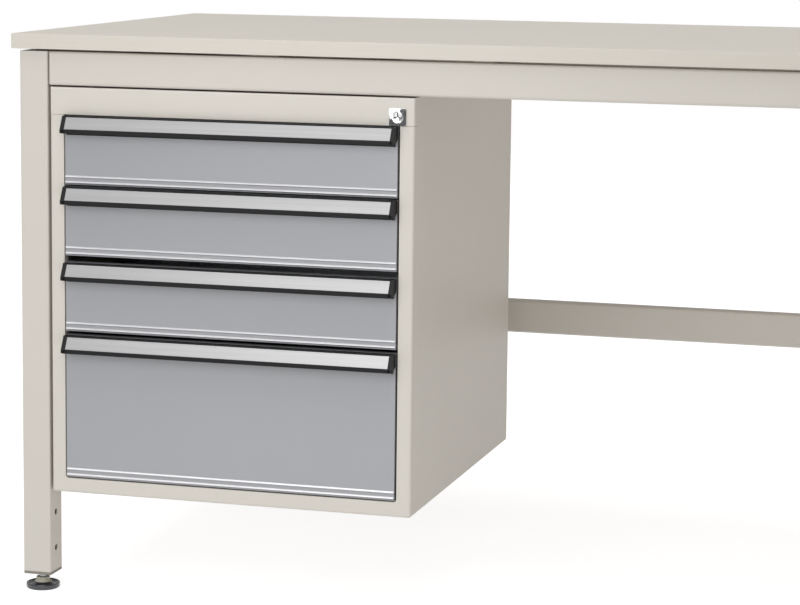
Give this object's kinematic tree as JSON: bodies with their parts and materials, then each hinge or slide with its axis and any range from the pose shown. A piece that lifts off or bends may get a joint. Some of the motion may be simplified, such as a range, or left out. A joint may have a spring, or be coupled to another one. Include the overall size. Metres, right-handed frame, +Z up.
{
  "type": "workbench with drawers",
  "caption": "Steel-framed workbench with a laminate top and a lockable drawer cabinet hung under its left end.",
  "frame": {"origin": "on the floor, under the centre of the bench's bounding box", "axes": "+X along the bench from the cabinet's end to the open end, +Y from the front, where the drawers open, to the back, +Z up"},
  "size_m": [1.5, 0.7114, 0.76],
  "materials": {
    "worktop_laminate": "cream laminate on a chipboard core, fine matt grain, thin edge band",
    "frame_paint": "beige-grey powder coat, fine orange peel, satin",
    "cabinet_paint": "beige-grey powder coat, fine orange peel, satin",
    "drawer_paint": "silver-grey metallic powder coat, satin",
    "handle_aluminium": "anodised aluminium brushed along its length",
    "grip_plastic": "black moulded plastic, fine texture",
    "lock_chrome": "polished chrome plating",
    "plain_steel": "bright zinc-plated sheet steel",
    "cap_plastic": "grey-beige moulded plastic",
    "foot_plastic": "dark grey moulded plastic, semi-gloss",
    "foot_collar": "cream moulded plastic",
    "packing_rubber": "black rubber strip"
  },
  "bodies": {
    "frame": {"worktop": "worktop_laminate", "leg_front_left": "frame_paint", "leg_front_right": "frame_paint", "leg_rear_left": "frame_paint", "leg_rear_right": "frame_paint", "leg_cap_front_left": "cap_plastic", "leg_cap_front_right": "cap_plastic", "leg_cap_rear_left": "cap_plastic", "leg_cap_rear_right": "cap_plastic", "front_apron": "frame_paint", "rear_apron": "frame_paint", "side_rail_left": "frame_paint", "side_rail_right": "frame_paint", "rear_stretcher": "frame_paint", "side_stretcher_left": "frame_paint", "side_stretcher_right": "frame_paint", "packing_strip_left": "packing_rubber", "packing_strip_right": "packing_rubber", "hanger_rail_left": "frame_paint", "hanger_rail_right": "frame_paint", "cabinet_side_left": "cabinet_paint", "cabinet_side_right": "cabinet_paint", "cabinet_fascia": "cabinet_paint", "cabinet_bottom": "cabinet_paint", "cabinet_top": "cabinet_paint", "cabinet_back": "cabinet_paint", "runner_1_left": "plain_steel", "runner_1_right": "plain_steel", "runner_2_left": "plain_steel", "runner_2_right": "plain_steel", "runner_3_left": "plain_steel", "runner_3_right": "plain_steel", "runner_4_left": "plain_steel", "runner_4_right": "plain_steel", "lock_plate": "lock_chrome"},
    "foot_front_left": {"levelling_foot_front_left": "foot_plastic"},
    "foot_front_right": {"levelling_foot_front_right": "foot_plastic"},
    "foot_rear_left": {"levelling_foot_rear_left": "foot_plastic"},
    "foot_rear_right": {"levelling_foot_rear_right": "foot_plastic"},
    "drawer_1": {"drawer_1_tray": "plain_steel", "drawer_1_front": "drawer_paint", "drawer_1_handle_grip": "grip_plastic", "drawer_1_handle_strip": "handle_aluminium"},
    "drawer_2": {"drawer_2_tray": "plain_steel", "drawer_2_front": "drawer_paint", "drawer_2_handle_grip": "grip_plastic", "drawer_2_handle_strip": "handle_aluminium"},
    "drawer_3": {"drawer_3_tray": "plain_steel", "drawer_3_front": "drawer_paint", "drawer_3_handle_grip": "grip_plastic", "drawer_3_handle_strip": "handle_aluminium"},
    "drawer_4": {"drawer_4_tray": "plain_steel", "drawer_4_front": "drawer_paint", "drawer_4_handle_grip": "grip_plastic", "drawer_4_handle_strip": "handle_aluminium"},
    "lock_cylinder": {"lock_cylinder": "lock_chrome", "lock_cam": "plain_steel"},
    "lock_bar": {"lock_bar": "plain_steel"}
  },
  "joints": [
    {"name": "foot_front_left_height", "type": "slide", "parent": "frame", "child": "foot_front_left", "axis": [0, 0, -1], "range_m": [0, 0.02]},
    {"name": "foot_front_right_height", "type": "slide", "parent": "frame", "child": "foot_front_right", "axis": [0, 0, -1], "range_m": [0, 0.02]},
    {"name": "foot_rear_left_height", "type": "slide", "parent": "frame", "child": "foot_rear_left", "axis": [0, 0, -1], "range_m": [0, 0.02]},
    {"name": "foot_rear_right_height", "type": "slide", "parent": "frame", "child": "foot_rear_right", "axis": [0, 0, -1], "range_m": [0, 0.02]},
    {"name": "drawer_1_slide", "type": "slide", "parent": "frame", "child": "drawer_1", "axis": [0, -1, 0], "range_m": [0, 0.4]},
    {"name": "drawer_2_slide", "type": "slide", "parent": "frame", "child": "drawer_2", "axis": [0, -1, 0], "range_m": [0, 0.4]},
    {"name": "drawer_3_slide", "type": "slide", "parent": "frame", "child": "drawer_3", "axis": [0, -1, 0], "range_m": [0, 0.4]},
    {"name": "drawer_4_slide", "type": "slide", "parent": "frame", "child": "drawer_4", "axis": [0, -1, 0], "range_m": [0, 0.4]},
    {"name": "lock_turn", "type": "hinge", "parent": "frame", "child": "lock_cylinder", "pos_m": [-0.214, -0.33825, 0.665], "axis": [0, 1, 0], "range_deg": [0, 90]},
    {"name": "lock_bar_slide", "type": "slide", "parent": "frame", "child": "lock_bar", "axis": [0, 0, -1], "range_m": [0, 0.008]}
  ],
  "couplings": [
    {"joint": "lock_bar_slide", "follows": "lock_turn", "m_per_rad": 0.005}
  ]
}
